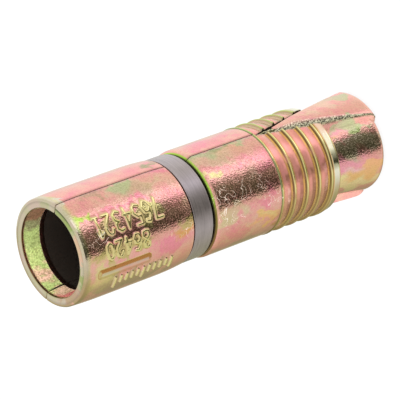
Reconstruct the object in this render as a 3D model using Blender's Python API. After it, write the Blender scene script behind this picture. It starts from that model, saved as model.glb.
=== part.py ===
# Expansion anchor: two shell halves held by a band, with a winged expander cone at the rear.
# It stands on the cone's rear face, mouth up. +Z runs from the cone to the mouth, +Y passes
# through a seam between the halves, and +X through the middle of the marked half.

import math

import bmesh
import bpy

MM = 0.001

# Shell: the bore narrows to a throat with a thicker wall, where the cone's seat is
BORE_RADIUS = 6.0 * MM
SHELL_WALL = 1.75 * MM
THROAT_WALL = 2.55 * MM
THROAT_PLACE = 27.0 * MM
SHELL_LENGTH = 45.8 * MM
SEAM_GAP = 0.3 * MM

# Mouth: the bore opens out, and the outside narrows a little to a rounded rim
MOUTH_FLARE = 0.32 * MM
MOUTH_DEPTH = 2.8 * MM
RIM_ROUNDING = 0.3 * MM
NOSE_DROP = 0.14 * MM
NOSE_LENGTH = 4.5 * MM

# Groove and band: the band's place is its front edge, measured from the mouth. Its clearance is
# what is left round the groove when the halves are fully open
BAND_PLACE = 19.05 * MM
BAND_WIDTH = 3.2 * MM
BAND_THICKNESS = 0.43 * MM
BAND_EDGE = 0.1 * MM
BAND_CLEARANCE = 0.13 * MM
BAND_END_GAP = 0.3 * MM
GROOVE_DEPTH = 1.05 * MM
BODY_DROP = 0.2 * MM
BODY_DROP_LENGTH = 4.2 * MM
LIP_DROP = 0.6 * MM
LIP_LENGTH = 1.0 * MM

# Ribs, counted forward from the land at the rear end, and standing a little proud
RIB_COUNT = 4
RIB_RISE = 0.1 * MM
RIB_PITCH = 2.32 * MM
RIB_CREST = 0.38 * MM
RIB_DEPTH = 0.35 * MM
END_LAND = 1.55 * MM
END_ROUNDING = 0.3 * MM

# Expander cone, and the seat that it is drawn into
CONE_LENGTH = 18.0 * MM
CONE_EXPOSED = 9.6 * MM
CONE_STEP = 0.88 * MM
CONE_TAPER = math.radians(8.0)
CONE_ROUNDING = 1.1 * MM
CONE_CHAMFER = 0.3 * MM
CONE_CLEARANCE = 0.35 * MM
THREAD_BORE = 3.4 * MM
THREAD_CHAMFER = 0.5 * MM
SEAT_LENGTH = 7.5 * MM

# Wings on the cone: wedges with sloping shoulders, which grow towards a falling nose
WING_LENGTH = 16.8 * MM
WING_TIP = 0.38 * MM
WING_FLARE = math.radians(10.76)
WING_ROUNDING = 1.2 * MM
WING_SETBACK = 0.2 * MM
WING_FILLET = 0.6 * MM
WING_FILLET_RUN = 0.8 * MM
WING_ROOT = 0.4 * MM
WING_FLAT = 13.0 * MM
SHOULDER_WIDTH = 1.1 * MM
SHOULDER_SLOPE = math.radians(35.0)
NOSE_SLOPE = math.radians(9.0)

# Notches between the halves, which the wings slide in
NOTCH_LENGTH = 10.9 * MM
NOTCH_CLEARANCE = 0.3 * MM

# Travel of the cone in use, and how far the rear end of each half then moves out
CONE_TRAVEL = 3.0 * MM
REAR_OPENING = 0.45 * MM

# Fineness of the round shapes
SEGMENTS = 64
ARC_STEPS = 4
FILLET_LEAST = 0.03 * MM
RIDGE_LEAST = 0.03 * MM
MERGE_DISTANCE = 0.001 * MM
CUTTER_REACH = 4.0 * MM
SHARP_ANGLE = math.radians(32.0)

# Sizes that follow from those above
shell_radius = BORE_RADIUS + SHELL_WALL
throat_radius = shell_radius - THROAT_WALL
rib_radius = shell_radius + RIB_RISE
overall_length = SHELL_LENGTH + CONE_EXPOSED
groove_radius = shell_radius - GROOVE_DEPTH
groove_start = BAND_PLACE - BAND_END_GAP
groove_end = BAND_PLACE + BAND_WIDTH + BAND_END_GAP
band_slack = REAR_OPENING * (BAND_PLACE + BAND_WIDTH) / SHELL_LENGTH + BAND_CLEARANCE
band_inside = groove_radius + band_slack
band_outside = band_inside + BAND_THICKNESS
cone_rear_radius = shell_radius - CONE_STEP
fillet_end = CONE_EXPOSED - CONE_TRAVEL


def rounded_inset(rounding, height):
    """How far an edge of this rounding falls back at a height above its face."""
    rise = max(0.0, rounding - height)
    return rounding - math.sqrt(rounding**2 - rise**2)


def cone_radius(height):
    """Outside radius of the turned cone at a height above its rear face."""
    taper = max(0.0, height - CONE_ROUNDING) * math.tan(CONE_TAPER)
    return cone_rear_radius - taper - rounded_inset(CONE_ROUNDING, height)


def wing_radius(height):
    """Outside radius of the wings: flush with the shell, less at the nose and the rear edge."""
    nose_drop = max(0.0, height - WING_FLAT) * math.tan(NOSE_SLOPE)
    return shell_radius - nose_drop - rounded_inset(WING_ROUNDING, height)


def wing_half_width(height):
    return WING_TIP + (WING_LENGTH - height) * math.tan(WING_FLARE)


def wing_fillet(height):
    """Fillet at the wing's foot: only where the shell never reaches, and less to the rear."""
    run_in = min(1.0, (fillet_end - height) / WING_FILLET_RUN)
    return max(FILLET_LEAST, WING_FILLET * run_in * height / fillet_end)


def notch_half_width(depth):
    """Half the gap between the halves at a depth from the mouth, along the rear notch."""
    widest = wing_half_width(CONE_EXPOSED) + NOTCH_CLEARANCE
    from_tip = depth - (SHELL_LENGTH - NOTCH_LENGTH)
    return SEAM_GAP / 2.0 + (widest - SEAM_GAP / 2.0) * from_tip / NOTCH_LENGTH


def arc(centre, radius, start, end):
    """Points along a circular arc, with both its ends; angles in degrees."""
    points = []
    for step in range(ARC_STEPS + 1):
        angle = math.radians(start + (end - start) * step / ARC_STEPS)
        points.append((centre[0] + radius * math.cos(angle), centre[1] + radius * math.sin(angle)))
    return points


def eased_edge(start, length, drop, rising):
    """The shell's outside easing up to its full radius from a drop, or down to one."""
    points = []
    for step in range(ARC_STEPS + 1):
        share = step / ARC_STEPS
        left = 1.0 - share if rising else share
        points.append((shell_radius - drop * left**2, start + length * share))
    return points


def hollow(start, length):
    """The shallow round hollow in front of a rib, with the ends of its arc."""
    half = length / 2.0
    radius = (half**2 + RIB_DEPTH**2) / (2.0 * RIB_DEPTH)
    steps = 2 * ARC_STEPS - 2
    points = []
    for step in range(steps + 1):
        across = half * (2.0 * step / steps - 1.0)
        sink = math.sqrt(radius**2 - across**2) - (radius - RIB_DEPTH)
        points.append((rib_radius - sink, start + half + across))
    return points


def shell_profile():
    """Closed section of the shell's wall: radius, and depth from the mouth."""
    nose_radius = shell_radius - NOSE_DROP
    rim_centre = (nose_radius - RIM_ROUNDING, RIM_ROUNDING)
    profile = [(BORE_RADIUS, MOUTH_DEPTH), (BORE_RADIUS + MOUTH_FLARE, 0.0)]
    profile += arc(rim_centre, RIM_ROUNDING, -90.0, 0.0)
    profile += eased_edge(RIM_ROUNDING, NOSE_LENGTH, NOSE_DROP, True)[1:]
    profile += eased_edge(groove_start - BODY_DROP_LENGTH, BODY_DROP_LENGTH, BODY_DROP, False)
    profile += [(groove_radius, groove_start), (groove_radius, groove_end)]
    profile += eased_edge(groove_end, LIP_LENGTH, LIP_DROP, True)

    ribs_start = SHELL_LENGTH - END_LAND - RIB_COUNT * RIB_PITCH
    profile.append((shell_radius, ribs_start - RIB_CREST))
    for index in range(RIB_COUNT):
        profile += hollow(ribs_start + index * RIB_PITCH, RIB_PITCH - RIB_CREST)

    end_centre = (rib_radius - END_ROUNDING, SHELL_LENGTH - END_ROUNDING)
    profile += arc(end_centre, END_ROUNDING, 0.0, 90.0)
    profile.append((cone_radius(CONE_EXPOSED) + CONE_CLEARANCE, SHELL_LENGTH))
    profile.append((throat_radius, SHELL_LENGTH - SEAT_LENGTH))
    profile.append((throat_radius, THROAT_PLACE + THROAT_WALL - SHELL_WALL))
    profile.append((BORE_RADIUS, THROAT_PLACE))
    return profile


def cone_profile():
    """Closed section of the cone: radius, and height above its rear face."""
    chamfer_start = CONE_LENGTH - CONE_CHAMFER
    front_radius = cone_radius(chamfer_start)
    profile = [(THREAD_BORE, THREAD_CHAMFER), (THREAD_BORE + THREAD_CHAMFER, 0.0)]
    profile += arc((cone_rear_radius - CONE_ROUNDING, CONE_ROUNDING), CONE_ROUNDING, -90.0, 0.0)
    profile.append((front_radius, chamfer_start))
    profile.append((front_radius - CONE_CHAMFER, CONE_LENGTH))
    profile.append((THREAD_BORE, CONE_LENGTH))
    return profile


def band_profile():
    """Closed section of the band, its outer edges broken: radius, and depth from its front."""
    edge_radius = band_outside - BAND_EDGE
    return [
        (band_inside, 0.0),
        (edge_radius, 0.0),
        (band_outside, BAND_EDGE),
        (band_outside, BAND_WIDTH - BAND_EDGE),
        (edge_radius, BAND_WIDTH),
        (band_inside, BAND_WIDTH),
    ]


def turn(profile, upward):
    """Turns a closed section round the Z axis, with its lengths running up or down."""
    mesh = bmesh.new()
    corners = [mesh.verts.new((radius, 0.0, upward * along)) for radius, along in profile]
    edges = []
    for index, corner in enumerate(corners):
        edges.append(mesh.edges.new((corner, corners[(index + 1) % len(corners)])))
    bmesh.ops.spin(
        mesh,
        geom=corners + edges,
        cent=(0.0, 0.0, 0.0),
        axis=(0.0, 0.0, 1.0),
        angle=math.tau,
        steps=SEGMENTS,
    )
    bmesh.ops.remove_doubles(mesh, verts=mesh.verts, dist=MERGE_DISTANCE)
    bmesh.ops.recalc_face_normals(mesh, faces=mesh.faces)
    return mesh


def half_envelope(side):
    """Space that one shell half may fill: one side of the seams, less its share of the notches."""
    front = CUTTER_REACH
    rear = SHELL_LENGTH + CUTTER_REACH
    outside = shell_radius + CUTTER_REACH
    outline = [
        (SEAM_GAP / 2.0, front),
        (SEAM_GAP / 2.0, NOTCH_LENGTH - SHELL_LENGTH),
        (notch_half_width(rear), -rear),
        (outside, -rear),
        (outside, front),
    ]
    mesh = bmesh.new()
    face = mesh.faces.new([mesh.verts.new((side * x, -outside, z)) for x, z in outline])
    grown = bmesh.ops.extrude_face_region(mesh, geom=[face])["geom"]
    moved = [item for item in grown if isinstance(item, bmesh.types.BMVert)]
    bmesh.ops.translate(mesh, verts=moved, vec=(0.0, 2.0 * outside, 0.0))
    bmesh.ops.recalc_face_normals(mesh, faces=mesh.faces)
    return mesh


def wing_section(height):
    """Closed cross-section of a wing: foot sunk in the cone, fillets, shoulders, round top."""
    half_width = wing_half_width(height)
    fillet = wing_fillet(height)
    foot = half_width + fillet
    foot_level = math.sqrt(cone_radius(height) ** 2 - foot**2)
    sunk_radius = cone_radius(height) - WING_ROOT
    top_radius = wing_radius(height)
    shoulder = SHOULDER_WIDTH * (height / WING_FLAT) ** 2
    top_half_width = max(RIDGE_LEAST, half_width - shoulder)
    shoulder_drop = (half_width - top_half_width) * math.tan(SHOULDER_SLOPE)

    side = []
    for step in range(ARC_STEPS + 1):
        across = foot * step / ARC_STEPS
        side.append((across, math.sqrt(sunk_radius**2 - across**2)))
    side += arc((foot, foot_level + fillet), fillet, -90.0, -180.0)
    side.append((half_width, math.sqrt(top_radius**2 - top_half_width**2) - shoulder_drop))
    for step in range(ARC_STEPS + 1):
        across = top_half_width * (1.0 - step / ARC_STEPS)
        side.append((across, math.sqrt(top_radius**2 - across**2)))
    return side + [(-x, y) for x, y in reversed(side[1:-1])]


def wing_heights():
    """Heights of a wing's sections: close together round the rear edge, then wider apart."""
    heights = []
    for step in range(ARC_STEPS + 1):
        share = (step / ARC_STEPS) ** 2
        heights.append(WING_SETBACK + (CONE_ROUNDING - WING_SETBACK) * share)
    for start, end in (
        (CONE_ROUNDING, fillet_end - WING_FILLET_RUN),
        (fillet_end - WING_FILLET_RUN, fillet_end),
        (fillet_end, WING_FLAT),
        (WING_FLAT, WING_LENGTH),
    ):
        for share in (0.5, 1.0):
            heights.append(start + (end - start) * share)
    return heights


def wing_pair():
    """Both wings, half a turn apart, each lofted through its sections."""
    mesh = bmesh.new()
    for turned in (1.0, -1.0):
        rings = []
        for height in wing_heights():
            section = wing_section(height)
            rings.append([mesh.verts.new((turned * x, turned * y, height)) for x, y in section])
        for lower, upper in zip(rings, rings[1:]):
            for index, corner in enumerate(lower):
                after = (index + 1) % len(lower)
                mesh.faces.new((corner, lower[after], upper[after], upper[index]))
        mesh.faces.new(rings[0])
        mesh.faces.new(rings[-1])
    bmesh.ops.recalc_face_normals(mesh, faces=mesh.faces)
    return mesh


def metal(name, colour, roughness):
    material = bpy.data.materials.new(name)
    material.use_nodes = True
    shader = material.node_tree.nodes["Principled BSDF"]
    shader.inputs["Base Color"].default_value = (*colour, 1.0)
    shader.inputs["Roughness"].default_value = roughness
    shader.inputs["Metallic"].default_value = 1.0
    return material


def place(name, mesh, height, carrier, material=None):
    """Makes an object from a mesh, with its origin on the anchor's axis at a height."""
    data = bpy.data.meshes.new(name)
    mesh.to_mesh(data)
    mesh.free()
    piece = bpy.data.objects.new(name, data)
    piece.location = (0.0, 0.0, height)
    piece.parent = carrier
    bpy.context.collection.objects.link(piece)
    if material:
        data.materials.append(material)
        data.shade_smooth()
        data.set_sharp_from_angle(angle=SHARP_ANGLE)
    else:
        piece.hide_render = True
        piece.display_type = "WIRE"
    return piece


def combine(piece, operation, other):
    step = piece.modifiers.new(operation.lower(), "BOOLEAN")
    step.operation = operation
    step.object = other
    step.solver = "EXACT"


def make_shell_half(name, side, colour, carrier):
    """One half of the shell, pivoting at the mouth, where its origin lies."""
    plated = metal(name + "_plating", colour, 0.32)
    half = place(name, turn(shell_profile(), -1.0), overall_length, carrier, plated)
    envelope = place(name + "_envelope", half_envelope(side), overall_length, carrier)
    combine(half, "INTERSECT", envelope)


def make_band(carrier):
    steel = metal("band_steel", (0.42, 0.39, 0.38), 0.38)
    place("retaining_band", turn(band_profile(), -1.0), overall_length - BAND_PLACE, carrier, steel)


def make_cone(carrier):
    """The threaded cone with its wings, its origin on the line that it slides along."""
    plated = metal("cone_plating", (0.80, 0.56, 0.42), 0.34)
    cone = place("expander_cone", turn(cone_profile(), 1.0), 0.0, carrier, plated)
    wings = place("cone_wings", wing_pair(), 0.0, carrier)
    combine(cone, "UNION", wings)


def main():
    for leftover in list(bpy.data.objects):
        bpy.data.objects.remove(leftover, do_unlink=True)
    anchor = bpy.data.objects.new("anchor_axis", None)
    bpy.context.collection.objects.link(anchor)
    make_shell_half("marked_shell_half", 1.0, (0.82, 0.55, 0.42), anchor)
    make_shell_half("plain_shell_half", -1.0, (0.78, 0.57, 0.40), anchor)
    make_band(anchor)
    make_cone(anchor)


main()
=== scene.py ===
import math

import bpy
import numpy as np
from mathutils import Matrix


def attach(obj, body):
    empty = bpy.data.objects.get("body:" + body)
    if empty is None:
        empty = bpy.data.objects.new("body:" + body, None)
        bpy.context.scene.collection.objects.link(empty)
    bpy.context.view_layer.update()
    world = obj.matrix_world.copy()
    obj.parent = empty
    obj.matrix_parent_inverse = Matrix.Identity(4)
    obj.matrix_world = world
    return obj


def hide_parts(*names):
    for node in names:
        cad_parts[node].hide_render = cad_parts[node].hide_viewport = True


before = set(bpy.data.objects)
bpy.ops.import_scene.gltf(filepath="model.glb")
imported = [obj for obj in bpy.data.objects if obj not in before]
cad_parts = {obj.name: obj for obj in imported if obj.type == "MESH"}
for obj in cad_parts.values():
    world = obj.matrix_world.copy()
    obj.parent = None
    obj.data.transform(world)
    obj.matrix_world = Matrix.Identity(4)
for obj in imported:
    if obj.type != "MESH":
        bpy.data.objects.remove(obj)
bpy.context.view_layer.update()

# Expansion anchor with yellow chromate plating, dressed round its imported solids.
# Lengths below are in millimetres: a depth runs from the mouth to the rear, a height from the
# cone's rear face to the mouth. A turn is in degrees round the axis, clockwise as seen from the
# mouth, and turnOfX says where it starts.

mm = 0.001

anchor = {
    "length": 55.4,
    "turnOfX": 119.0,  # the turn at which +X lies
    "seamTurn": 29.0,  # the upper seam, at +Y
}


def partAngle(turn):
    return np.radians(anchor["turnOfX"] - np.asarray(turn, float))


def turnOf(points):
    return anchor["turnOfX"] - np.degrees(np.arctan2(points[:, 1], points[:, 0]))


def depthOf(points):
    return anchor["length"] - points[:, 2]


def turnApart(turn, other):
    return (turn - other + 180.0) % 360.0 - 180.0


# small mesh helpers


def arcRun(centre, radius, start, end, steps):
    angles = np.radians(np.linspace(start, end, steps + 1))
    return [(centre[0] + radius * math.cos(a), centre[1] + radius * math.sin(a)) for a in angles]


def smoothStep(low, high, value):
    share = np.clip((np.asarray(value, float) - low) / (high - low), 0.0, 1.0)
    return share * share * (3.0 - 2.0 * share)


def window(riseFrom, riseTo, fallFrom, fallTo, value):
    return smoothStep(riseFrom, riseTo, value) * (1.0 - smoothStep(fallFrom, fallTo, value))


def refine(run, spacingAt):
    # adds points to a closed run of (radius, along, mark...) until none is far from the next
    fine = []
    for here, after in zip(run, run[1:] + run[:1]):
        here, after = np.array(here, float), np.array(after, float)
        gap = math.hypot(*(after - here)[:2])
        count = max(1, math.ceil(gap / spacingAt(*((here + after) / 2.0)[:2])))
        fine += [here + (after - here) * step / count for step in range(count)]
    return np.array(fine)


def outwardNormals(run):
    # unit normals of a closed run that goes round its section with the metal on its right
    ahead, behind = np.roll(run, -1, axis=0) - run, run - np.roll(run, 1, axis=0)
    ahead /= np.linalg.norm(ahead, axis=1)[:, None]
    behind /= np.linalg.norm(behind, axis=1)[:, None]
    along = ahead + behind
    along /= np.linalg.norm(along, axis=1)[:, None]
    return np.stack([along[:, 1], -along[:, 0]], axis=1)


def gridFaces(rows, columns, closedRows, closedColumns):
    faces = []
    for row in range(rows if closedRows else rows - 1):
        below, above = row * columns, ((row + 1) % rows) * columns
        for column in range(columns if closedColumns else columns - 1):
            nextColumn = (column + 1) % columns
            faces.append((below + column, below + nextColumn, above + nextColumn, above + column))
    return faces


def makePiece(name, points, faces, marks, sharpAngle):
    mesh = bpy.data.meshes.new(name)
    mesh.from_pydata((points * mm).tolist(), [], faces)
    for mark, values in marks.items():
        values = np.asarray(values, np.float32)
        if values.ndim == 2:
            attribute = mesh.attributes.new(mark, "FLOAT_COLOR", "POINT")
            opaque = np.column_stack([values, np.ones(len(values), np.float32)])
            attribute.data.foreach_set("color", opaque.ravel())
        else:
            attribute = mesh.attributes.new(mark, "FLOAT", "POINT")
            attribute.data.foreach_set("value", values)
    mesh.validate()
    mesh.shade_smooth()
    mesh.set_sharp_from_angle(angle=math.radians(sharpAngle))
    piece = bpy.data.objects.new(name, mesh)
    bpy.context.scene.collection.objects.link(piece)
    triangles = sum(len(p.vertices) - 2 for p in mesh.polygons)
    print(name, len(mesh.vertices), "points", triangles, "triangles")
    return piece


noise = {"waves": 18, "octave": (0.6, 1.6), "height": 0.6}


def drift(points, wavelength, seed):
    # smooth noise in space, about -1 to 1, from seeded waves; points and wavelength in millimetres
    dice = np.random.default_rng(seed)
    total = np.zeros(len(points))
    for _ in range(noise["waves"]):
        direction = dice.normal(size=3)
        direction *= dice.uniform(*noise["octave"]) * math.tau / (wavelength * np.linalg.norm(direction))
        total += np.sin(points @ direction + dice.uniform(0.0, math.tau))
    return total / math.sqrt(noise["waves"] / 2.0) * noise["height"]


def astray(points, waves):
    # a wandering amount, from waves of (strength, wavelength, seed)
    return sum(strength * drift(points, wavelength, seed) for strength, wavelength, seed in waves)


# plating tints: base colours of the passivated zinc, and where each shows
platingTints = {
    "cream": (0.70, 0.61, 0.44), "straw": (0.84, 0.74, 0.32), "goldLime": (0.60, 0.57, 0.20),
    "gold": (0.66, 0.52, 0.22), "brown": (0.40, 0.20, 0.10), "orange": (0.82, 0.44, 0.12),
    "peach": (0.90, 0.60, 0.42), "tan": (0.62, 0.44, 0.28), "salmon": (0.93, 0.47, 0.38),
    "pink": (0.93, 0.34, 0.37), "red": (0.72, 0.22, 0.18), "olive": (0.40, 0.40, 0.19),
    "stone": (0.66, 0.54, 0.38), "brightGold": (0.98, 0.88, 0.40), "rose": (0.98, 0.42, 0.47),
    "apricot": (0.98, 0.58, 0.26), "leaf": (0.42, 0.50, 0.18), "lime": (0.46, 0.74, 0.09),
    "paleLime": (0.60, 0.76, 0.26), "ivory": (1.0, 0.97, 0.76), "ash": (0.74, 0.71, 0.62),
    "sage": (0.60, 0.60, 0.34), "umber": (0.24, 0.13, 0.045), "rust": (0.50, 0.22, 0.06),
    "brick": (0.86, 0.34, 0.27), "sienna": (0.40, 0.18, 0.10), "coral": (1.0, 0.42, 0.35),
    "goldBrown": (0.44, 0.30, 0.10), "butter": (0.98, 0.78, 0.46), "blush": (1.0, 0.62, 0.58),
}

tint = {
    # how far a spot's border strays along the axis and in turn, and the rim's tints in turn
    "wander": ((0.9, 3.2, 3), (0.35, 1.1, 5)),
    "wanderTurn": ((6.0, 3.0, 8), (2.4, 1.0, 13)),
    "wanderRim": ((6.0, 1.6, 31), (3.0, 0.5, 37)),
    # where a spot fades, as shares of the way from its middle to its outline
    "border": (0.35, 1.35), "scuffBorder": (0.6, 1.3), "rimBorder": (0.8, 1.3),
    # depth, turn, half length along the axis, half width in turn, tint, strength
    "nearSpots": [
        (27.5, 43, 7.5, 11, "peach", 0.8), (13.0, 46, 8.0, 10, "peach", 0.6),
        (28.5, 80, 9.0, 15, "tan", 0.5), (12.0, 80, 9.0, 14, "tan", 0.4),
        (31.0, 30, 5.0, 3, "sage", 0.7), (31.0, 39, 3.0, 6, "salmon", 0.6),
        (26.0, 46, 3.0, 8, "tan", 0.3), (0.4, 33, 1.1, 4.5, "ash", 1.0), (0.9, 56, 1.8, 6, "lime", 1.0),
        (2.2, 44, 3.0, 9, "pink", 0.3), (12.0, 46, 3.0, 8, "tan", 0.4),
        (10.0, 36, 2.6, 10, "sage", 0.95), (5.5, 35, 2.6, 7, "tan", 0.6),
        (17.2, 34, 2.0, 6, "pink", 0.7), (8.5, 57, 6.0, 4, "pink", 0.8),
        (11.8, 72, 3.2, 11, "straw", 0.75), (4.6, 72, 1.8, 10, "gold", 0.6),
        (3.8, 66, 1.0, 5, "pink", 0.8), (6.8, 99, 6.0, 11, "gold", 0.95),
        (2.6, 124, 3.0, 20, "straw", 0.6), (9.0, 140, 9.0, 15, "tan", 0.8),
        (14.5, 114, 3.8, 14, "pink", 0.75), (18.0, 103, 2.2, 7, "orange", 0.6),
        (17.6, 96, 2.6, 5, "gold", 0.8), (24.5, 33, 2.6, 8, "sage", 0.9),
        (28.4, 31, 2.4, 4, "olive", 0.6), (31.5, 45, 3.0, 8, "salmon", 0.8),
        (30.5, 56, 4.6, 6, "pink", 0.5), (24.3, 61, 1.6, 6, "straw", 0.7),
        (25.4, 105, 3.0, 12, "butter", 0.8), (25.6, 104, 3.2, 13, "tan", 0.45),
        (31.0, 103, 3.2, 9, "pink", 0.7), (26.5, 130, 3.6, 11, "pink", 0.6),
        (31.8, 123, 2.8, 10, "apricot", 0.95), (32.2, 121, 1.5, 5, "straw", 0.5),
        (34.2, 144, 2.0, 9, "orange", 0.5), (28.0, 154, 7.0, 11, "tan", 0.6),
        (40.0, 70, 6.0, 42, "brick", 0.85), (40.0, 74, 6.0, 15, "coral", 0.9),
        (40.0, 91, 6.0, 5, "sienna", 0.55), (40.0, 132, 6.0, 36, "sienna", 0.9),
    ],
    "farSpots": [
        (0.2, 13, 0.5, 9, "leaf", 0.8), (0.4, 25, 0.9, 3.5, "ash", 1.0),
        (17.6, 16, 1.8, 9, "olive", 0.7), (8.0, 12, 5.0, 12, "pink", 0.3),
        (28.0, 14, 6.0, 14, "pink", 0.6), (39.0, 15, 4.0, 16, "tan", 0.8),
        (25.5, -20, 2.4, 20, "olive", 0.35), (12.0, -60, 4.0, 18, "gold", 0.4),
        (30.0, -80, 4.0, 16, "pink", 0.5), (5.0, -110, 4.0, 20, "sage", 0.5),
        (26.0, -120, 3.0, 14, "peach", 0.5),
    ],
    "coneSpots": [
        (49.5, 82, 7.0, 15, "stone", 0.9), (50.8, 138, 6.0, 16, "butter", 0.85),
        (48.4, 106, 4.4, 13, "rose", 1.0), (53.0, 113, 2.4, 9, "apricot", 0.95),
        (50.0, 116, 2.0, 6, "blush", 0.8), (51.5, 125, 3.0, 8, "apricot", 0.95),
        (46.6, 124, 2.0, 8, "brightGold", 0.6), (46.6, 60, 1.4, 6, "apricot", 0.9),
        (48.3, 56, 2.2, 6, "rose", 0.9), (49.6, 53, 2.4, 5, "sage", 0.9),
        (51.8, 60, 2.4, 5, "sage", 1.0), (50.5, 65, 2.0, 4, "leaf", 0.8),
        (52.4, 17, 2.2, 8, "sage", 0.8), (46.5, 14, 6.0, 20, "peach", 0.8),
        (44.0, 24, 3.0, 8, "pink", 0.5), (50.0, -70, 3.0, 18, "sage", 0.5),
        (49.0, -130, 4.0, 18, "gold", 0.4), (49.0, -40, 3.0, 14, "pink", 0.5),
    ],
    # where curly scratches show: depth, turn, half length along the axis, half width in turn
    "scuffSpots": [
        (27.5, 84, 5.5, 13), (25.5, 106, 3.5, 14), (17.0, 104, 2.5, 8), (3.0, 80, 2.5, 9),
        (33.0, 104, 2.0, 9),
    ],
    # turn, half width in turn, tint, shade
    "farRimSpots": [(13, 7, "sage", 0.0)],
    "rimSpots": [
        (46, 15, "leaf", 0.0), (66, 6, "sage", 0.0), (89, 15, "peach", 0.0), (106, 6, "cream", 0.0),
        (122, 9, "leaf", 0.0), (134, 5, "sage", 0.0), (158, 18, "tan", 0.0),
    ],
    # inside the mouth; their shade is painted shade on the flare
    "flareSpots": [
        (178, 15, "red", 0.3), (197, 9, "peach", 0.3), (-141, 10, "paleLime", 0.25),
        (-121, 11, "peach", 0.1), (-95, 18, "paleLime", 0.1), (-70, 13, "paleLime", 0.35),
        (-54, 9, "olive", 0.35), (-30, 18, "brown", 0.45), (-2, 12, "leaf", 0.3),
    ],
}

# what the plating reads at each point, besides its tint; inner is painted shade, which darkens the colour
# towards near-black
platingMarks = ("cover", "dull", "flare", "inner", "scuff", "sheared", "skin")


def withPlating(count, given):
    return {key: given.get(key, np.zeros(count)) for key in ("tint", *platingMarks)}


def layCoats(base, coats):
    # lays each coat of (tint, share) over the ones before; base is the colour so far and its
    # cover, which is how far the tints hide the plain salmon
    colour, cover = base
    for paint, share in coats:
        paint = platingTints[paint] if isinstance(paint, str) else paint
        paint = np.asarray(paint, float).reshape(-1, 3)
        share = np.clip(np.asarray(share, float), 0.0, 1.0)
        after = 1.0 - (1.0 - cover) * (1.0 - share)
        kept = (cover * (1.0 - share) / np.maximum(after, 1e-6))[:, None]
        colour, cover = colour * kept + paint * (1.0 - kept), after
    return colour, cover


def farFrom(depth, turn, spot):
    # 0 in the middle of a spot and 1 on its outline
    atDepth, atTurn, halfLength, halfTurn = spot
    return np.hypot((depth - atDepth) / halfLength, turnApart(turn, atTurn) / halfTurn)


def tintAt(points, spots):
    # tint and cover at each point, from the spots with their borders astray
    depth = depthOf(points) + astray(points, tint["wander"])
    turn = turnOf(points) + astray(points, tint["wanderTurn"])
    base = np.tile(platingTints["salmon"], (len(points), 1)), np.zeros(len(points))
    coats = []
    for *spot, name, strength in spots:
        share = 1.0 - smoothStep(*tint["border"], farFrom(depth, turn, spot))
        coats.append((name, strength * share))
    return layCoats(base, coats)


def scuffAt(points, spots):
    depth, turn = depthOf(points), turnOf(points)
    shares = [1.0 - smoothStep(*tint["scuffBorder"], farFrom(depth, turn, spot)) for spot in spots]
    return np.maximum.reduce(shares)


def turnTintAt(points, plain, spots):
    # tint and painted shade on the rim and inside the mouth, where the spots run straight across
    turn = turnOf(points) + astray(points, tint["wanderRim"])
    colour, shade = np.tile(platingTints[plain], (len(points), 1)), np.zeros(len(points))
    for atTurn, halfTurn, name, shadeAmount in spots:
        share = 1.0 - smoothStep(*tint["rimBorder"], np.abs(turnApart(turn, atTurn)) / halfTurn)
        colour = colour * (1.0 - share[:, None]) + np.array(platingTints[name]) * share[:, None]
        shade = shade * (1.0 - share) + shadeAmount * share
    return colour, shade


# shell halves

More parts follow.
